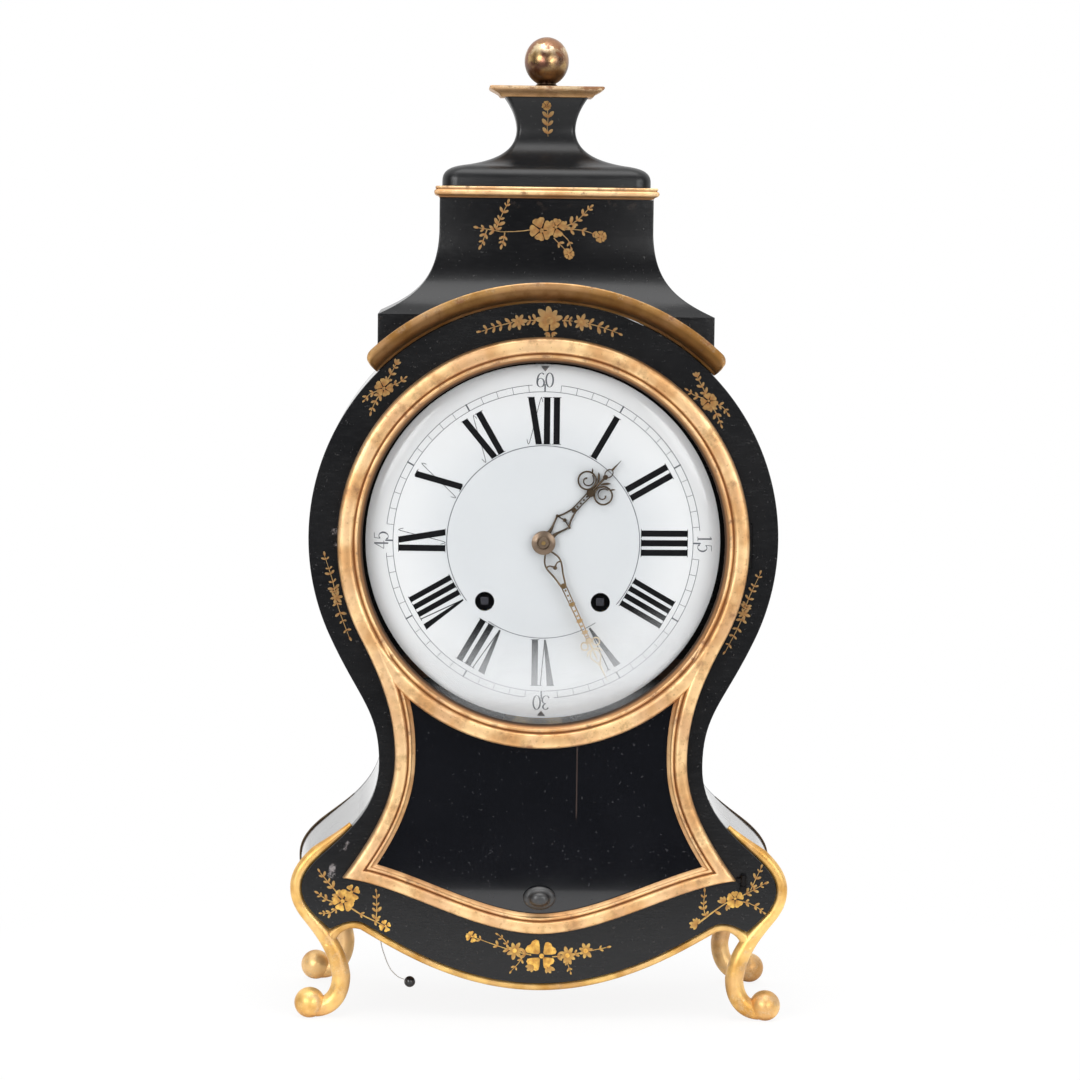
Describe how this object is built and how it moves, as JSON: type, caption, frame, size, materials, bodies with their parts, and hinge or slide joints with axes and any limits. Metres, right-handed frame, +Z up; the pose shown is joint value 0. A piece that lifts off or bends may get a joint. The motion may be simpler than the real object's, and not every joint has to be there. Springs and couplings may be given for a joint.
{
  "type": "bracket clock",
  "caption": "Violin-cased spring clock on scroll feet, with a hood and ball finial, glazed front door, domed dial, pierced hands, pendulum movement, bell and repeat cord.",
  "frame": {"origin": "centre of the footprint, on the plane the feet stand on", "axes": "+Z up, +X to the right as seen from the front, the front faces -Y"},
  "size_m": [0.2848, 0.155, 0.561],
  "materials": {
    "black_lacquer": "black lacquer over wood, glossy",
    "gilding": "worn gilding on carved wood",
    "plain_wood": "plain boards inside the case",
    "enamel": "white enamel on a domed plate",
    "brass": "polished brass",
    "hand_bronze": "pierced brass, darkened",
    "steel": "bright steel",
    "glass": "clear domed glass",
    "dark_glass": "glass over a dark ground",
    "bell_metal": "bell metal",
    "thread": "twisted thread",
    "black_bead": "black turned bead"
  },
  "bodies": {
    "case": {"case_shell": "black_lacquer", "front_board": "black_lacquer", "back_board": "black_lacquer", "base_board": "plain_wood", "seat_board": "plain_wood", "hood_flare": "black_lacquer", "hood_fillet": "gilding", "hood_cap": "black_lacquer", "hood_top_plate": "gilding", "finial_ball": "gilding", "brow_moulding": "gilding", "apron_bead": "gilding", "foot_front_left": "gilding", "foot_front_right": "gilding", "foot_rear_left": "gilding", "foot_rear_right": "gilding", "dial": "enamel", "front_plate": "brass", "back_plate": "brass", "bell": "bell_metal", "bell_stand": "steel", "back_cock": "brass", "cord_bush": "brass", "hinge_bracket_upper": "brass", "hinge_bracket_lower": "brass", "back_hinge_fixed": "brass", "repeat_post": "brass"},
    "front_door": {"door_moulding": "gilding", "door_cross_arc": "gilding", "dial_glass": "glass", "lower_pane": "dark_glass", "door_knob": "black_lacquer", "door_knuckle_upper": "brass", "door_knuckle_lower": "brass"},
    "rear_door": {"back_door": "black_lacquer", "back_hinge_moving": "brass", "back_door_knob": "brass"},
    "minute_train": {"minute_hand": "hand_bronze", "hand_nut": "brass", "centre_wheel": "brass"},
    "hour_train": {"hour_hand": "hand_bronze", "hour_wheel": "brass"},
    "motion_wheel": {"minute_wheel": "brass"},
    "second_wheel": {"intermediate_wheel": "brass"},
    "third": {"third_wheel": "brass"},
    "escape": {"escape_wheel": "brass"},
    "spring_going": {"going_barrel": "brass"},
    "key_going": {"going_arbor": "steel"},
    "spring_strike": {"strike_barrel": "brass"},
    "key_strike": {"strike_arbor": "steel"},
    "pins": {"pin_wheel": "brass"},
    "fan": {"fly": "brass"},
    "striker": {"hammer": "steel"},
    "anchor": {"pallets": "steel"},
    "pendulum": {"pendulum_rod": "steel", "pendulum_bob": "brass", "rating_nut": "brass"},
    "lever": {"repeat_lever": "steel"},
    "pull": {"repeat_cord": "thread", "cord_bead": "black_bead"}
  },
  "joints": [
    {"name": "front_door_hinge", "type": "hinge", "parent": "case", "child": "front_door", "pos_m": [0.1166, -0.0659, 0], "axis": [0, 0, 1], "range_deg": [0, 105]},
    {"name": "rear_door_hinge", "type": "hinge", "parent": "case", "child": "rear_door", "pos_m": [0.0758, 0.0658, 0.255], "axis": [0, 0, -1], "range_deg": [0, 110]},
    {"name": "minute_turn", "type": "hinge", "parent": "case", "child": "minute_train", "pos_m": [0, -0.0055, 0.274], "axis": [0, 1, 0], "continuous": true},
    {"name": "hour_turn", "type": "hinge", "parent": "case", "child": "hour_train", "pos_m": [0, -0.0395, 0.274], "axis": [0, 1, 0], "continuous": true},
    {"name": "motion_wheel_turn", "type": "hinge", "parent": "case", "child": "motion_wheel", "pos_m": [0, -0.0355, 0.262], "axis": [0, 1, 0], "continuous": true},
    {"name": "second_wheel_turn", "type": "hinge", "parent": "case", "child": "second_wheel", "pos_m": [0.02465, -0.0055, 0.27235], "axis": [0, 1, 0], "continuous": true},
    {"name": "third_wheel_turn", "type": "hinge", "parent": "case", "child": "third", "pos_m": [-0.00568, -0.0055, 0.2952], "axis": [0, 1, 0], "continuous": true},
    {"name": "escape_turn", "type": "hinge", "parent": "case", "child": "escape", "pos_m": [0, -0.0055, 0.31463], "axis": [0, 1, 0], "continuous": true},
    {"name": "going_barrel_turn", "type": "hinge", "parent": "case", "child": "spring_going", "pos_m": [0.033, -0.0055, 0.2398], "axis": [0, 1, 0], "continuous": true},
    {"name": "going_winding", "type": "hinge", "parent": "case", "child": "key_going", "pos_m": [0.033, -0.0055, 0.2398], "axis": [0, 1, 0], "range_deg": [0, 1440]},
    {"name": "pin_wheel_turn", "type": "hinge", "parent": "case", "child": "pins", "pos_m": [-0.02465, -0.0055, 0.27235], "axis": [0, 1, 0], "continuous": true},
    {"name": "strike_barrel_turn", "type": "hinge", "parent": "case", "child": "spring_strike", "pos_m": [-0.033, -0.0055, 0.2398], "axis": [0, 1, 0], "continuous": true},
    {"name": "strike_winding", "type": "hinge", "parent": "case", "child": "key_strike", "pos_m": [-0.033, -0.0055, 0.2398], "axis": [0, 1, 0], "range_deg": [0, 1440]},
    {"name": "fly_turn", "type": "hinge", "parent": "case", "child": "fan", "pos_m": [-0.04193, -0.0055, 0.28232], "axis": [0, 1, 0], "continuous": true},
    {"name": "hammer_swing", "type": "hinge", "parent": "case", "child": "striker", "pos_m": [-0.045, -0.0055, 0.314], "axis": [0, 1, 0], "range_deg": [-14, 4.5]},
    {"name": "pendulum_swing", "type": "hinge", "parent": "case", "child": "pendulum", "pos_m": [0, 0.0325, 0.33163], "axis": [0, 1, 0], "range_deg": [-3.5, 3.5]},
    {"name": "pallet_rock", "type": "hinge", "parent": "case", "child": "anchor", "pos_m": [0, -0.0055, 0.33163], "axis": [0, 1, 0], "range_deg": [-3.5, 3.5]},
    {"name": "repeat_pull", "type": "slide", "parent": "case", "child": "pull", "axis": [0, 0, -1], "range_m": [0, 0.0097]},
    {"name": "repeat_lever_swing", "type": "hinge", "parent": "case", "child": "lever", "pos_m": [-0.0625, -0.0385, 0.073], "axis": [0, -1, 0], "range_deg": [0, 19.5]}
  ],
  "couplings": [
    {"joint": "hour_turn", "follows": "minute_turn", "ratio": 0.083333},
    {"joint": "motion_wheel_turn", "follows": "minute_turn", "ratio": -0.33333},
    {"joint": "second_wheel_turn", "follows": "minute_turn", "ratio": -0.125},
    {"joint": "going_barrel_turn", "follows": "minute_turn", "ratio": 0.017857},
    {"joint": "third_wheel_turn", "follows": "minute_turn", "ratio": -10},
    {"joint": "escape_turn", "follows": "minute_turn", "ratio": 140},
    {"joint": "strike_barrel_turn", "follows": "pin_wheel_turn", "ratio": -0.14286},
    {"joint": "fly_turn", "follows": "pin_wheel_turn", "ratio": -9},
    {"joint": "pallet_rock", "follows": "pendulum_swing", "ratio": 1},
    {"joint": "repeat_lever_swing", "follows": "repeat_pull", "rad_per_m": 35.088}
  ]
}
